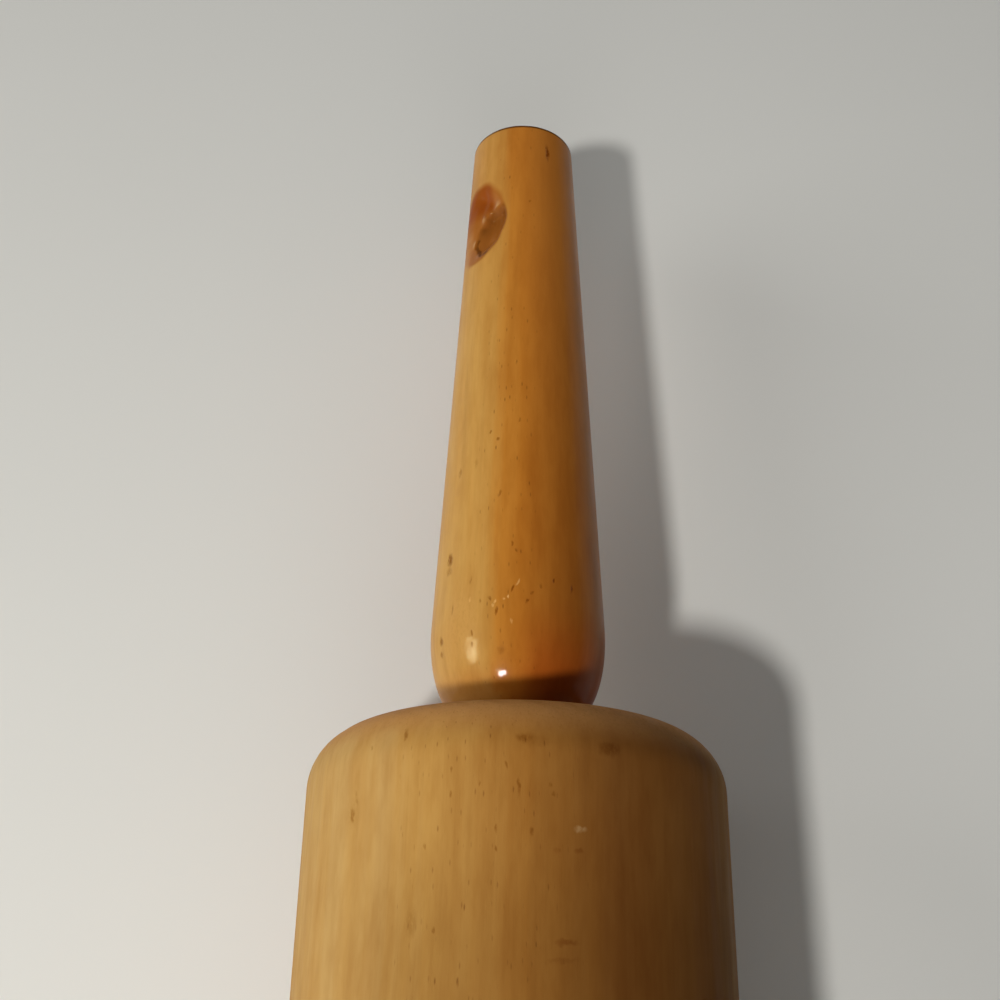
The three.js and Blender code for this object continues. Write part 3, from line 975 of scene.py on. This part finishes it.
def floor_material():
    """A pale, plain floor."""
    material, nodes, place = new_material("pale_table")
    cloud = nodes.noise(place, (0.004, 0.004, 0.004), 3.0)
    colour = nodes.blend(nodes.rise(cloud, 0.3, 0.7), *FLOOR_TONES)
    finish_material(nodes, Base_Color=colour, Roughness=0.62)
    return material


# The pieces

def dress(piece, material, body, node):
    """Gives a piece its material and its body, and hides the solid that it stands for."""
    piece.data.materials.clear()
    piece.data.materials.append(material)
    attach(piece, body)
    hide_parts(node)


def make_barrel():
    """The barrel with its dents."""
    piece = turned("barrel_wood", barrel_rows(), columns(BARREL_COLUMNS), True, bruises)
    dress(piece, raw_beech(), "barrel", "barrel")


def make_handles():
    """The photographed handle with its scar, and the plain one."""
    angles = columns(SCARRED_COLUMNS, SCAR_ANGLE, SCAR_CROWDING)
    right = turned("handle_wood_right", handle_rows(RIGHT_STRETCHES), angles, False, scar_sink)
    paint_scar(right)
    wood = lacquered_beech("lacquered_beech_right", *RIGHT_GRAIN, True)
    dress(right, wood, "handles", "handle_right")
    left = turned("handle_wood_left", mirrored(handle_rows(LEFT_STRETCHES)), columns(PLAIN_COLUMNS), False)
    wood = lacquered_beech("lacquered_beech_left", *LEFT_GRAIN, False)
    dress(left, wood, "handles", "handle_left")


def make_bearings():
    """Cups, cones, covers and washers, and the finish of the axle and the balls."""
    plated = steel("plated_steel", *PLATED_STEEL)
    bright = steel("bright_steel", *BRIGHT_STEEL)
    shapes = (
        ("bearing_cup", cup_rows(), "barrel"),
        ("bearing_cone", cone_rows(), "handles"),
        ("bearing_cover", ring_rows(*COVER), "barrel"),
        ("handle_washer", ring_rows(*WASHER), "handles"),
    )
    for name, rows, body in shapes:
        for side, placed in (("right", rows), ("left", mirrored(rows))):
            piece = turned(f"{name}_steel_{side}", placed, columns(STEEL_COLUMNS), True)
            dress(piece, plated, body, f"{name}_{side}")
    for name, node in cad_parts.items():
        if name == "axle" or name.startswith("bearing_ball"):
            node.data.materials.clear()
            node.data.materials.append(bright)
            node.data.shade_smooth()
            node.data.set_sharp_from_angle(angle=BALL_SHARP_ANGLE)


def make_floor():
    """A wide floor under the pin."""
    mesh = bpy.data.meshes.new("table")
    corners = [
        (-FLOOR_REACH, -FLOOR_REACH, 0),
        (FLOOR_REACH, -FLOOR_REACH, 0),
        (FLOOR_REACH, FLOOR_REACH, 0),
        (-FLOOR_REACH, FLOOR_REACH, 0),
    ]
    mesh.from_pydata(corners, [], [(0, 1, 2, 3)])
    table = bpy.data.objects.new("table", mesh)
    bpy.context.scene.collection.objects.link(table)
    mesh.materials.append(floor_material())


# Light and camera

def area_light(name, place, size, power, tone, lights):
    """An area light that lights everything, or matt surfaces alone, or gloss alone."""
    data = bpy.data.lights.new(name, "AREA")
    data.shape = "ELLIPSE"
    data.size, data.size_y = size
    data.energy = power
    data.color = tone
    light = bpy.data.objects.new(name, data)
    light.location = place
    light.rotation_euler = (Vector(LIT_PLACE) - Vector(place)).to_track_quat("-Z", "Y").to_euler()
    light.visible_glossy = lights != "matt"
    light.visible_diffuse = lights != "gloss"
    bpy.context.scene.collection.objects.link(light)


def make_light():
    """The lights and a faint even sky."""
    for light in LIGHTS:
        area_light(*light)
    world = bpy.data.worlds.new("studio")
    bpy.context.scene.world = world
    world.use_nodes = True
    background = world.node_tree.nodes["Background"]
    background.inputs["Color"].default_value = (*WHITE, 1)
    background.inputs["Strength"].default_value = SKY_STRENGTH


def make_camera():
    """The camera at the photograph's angle."""
    data = bpy.data.cameras.new("camera")
    data.sensor_width = CAMERA_FRAME
    data.lens = CAMERA_LENS
    data.clip_start = CAMERA_NEAR
    camera = bpy.data.objects.new("camera", data)
    ahead = Vector((math.cos(CAMERA_TURN), math.sin(CAMERA_TURN), 0))
    right = Vector((math.sin(CAMERA_TURN), -math.cos(CAMERA_TURN), 0))
    up = math.sin(CAMERA_TILT) * ahead + Vector((0, 0, math.cos(CAMERA_TILT)))
    axes = Matrix((right, up, right.cross(up))).transposed()
    camera.matrix_world = Matrix.Translation(Vector(CAMERA_PLACE) * MM) @ axes.to_4x4()
    bpy.context.scene.collection.objects.link(camera)
    bpy.context.scene.camera = camera


make_barrel()
make_handles()
make_bearings()
make_floor()
make_light()
make_camera()
bpy.context.scene.view_settings.view_transform = "Standard"
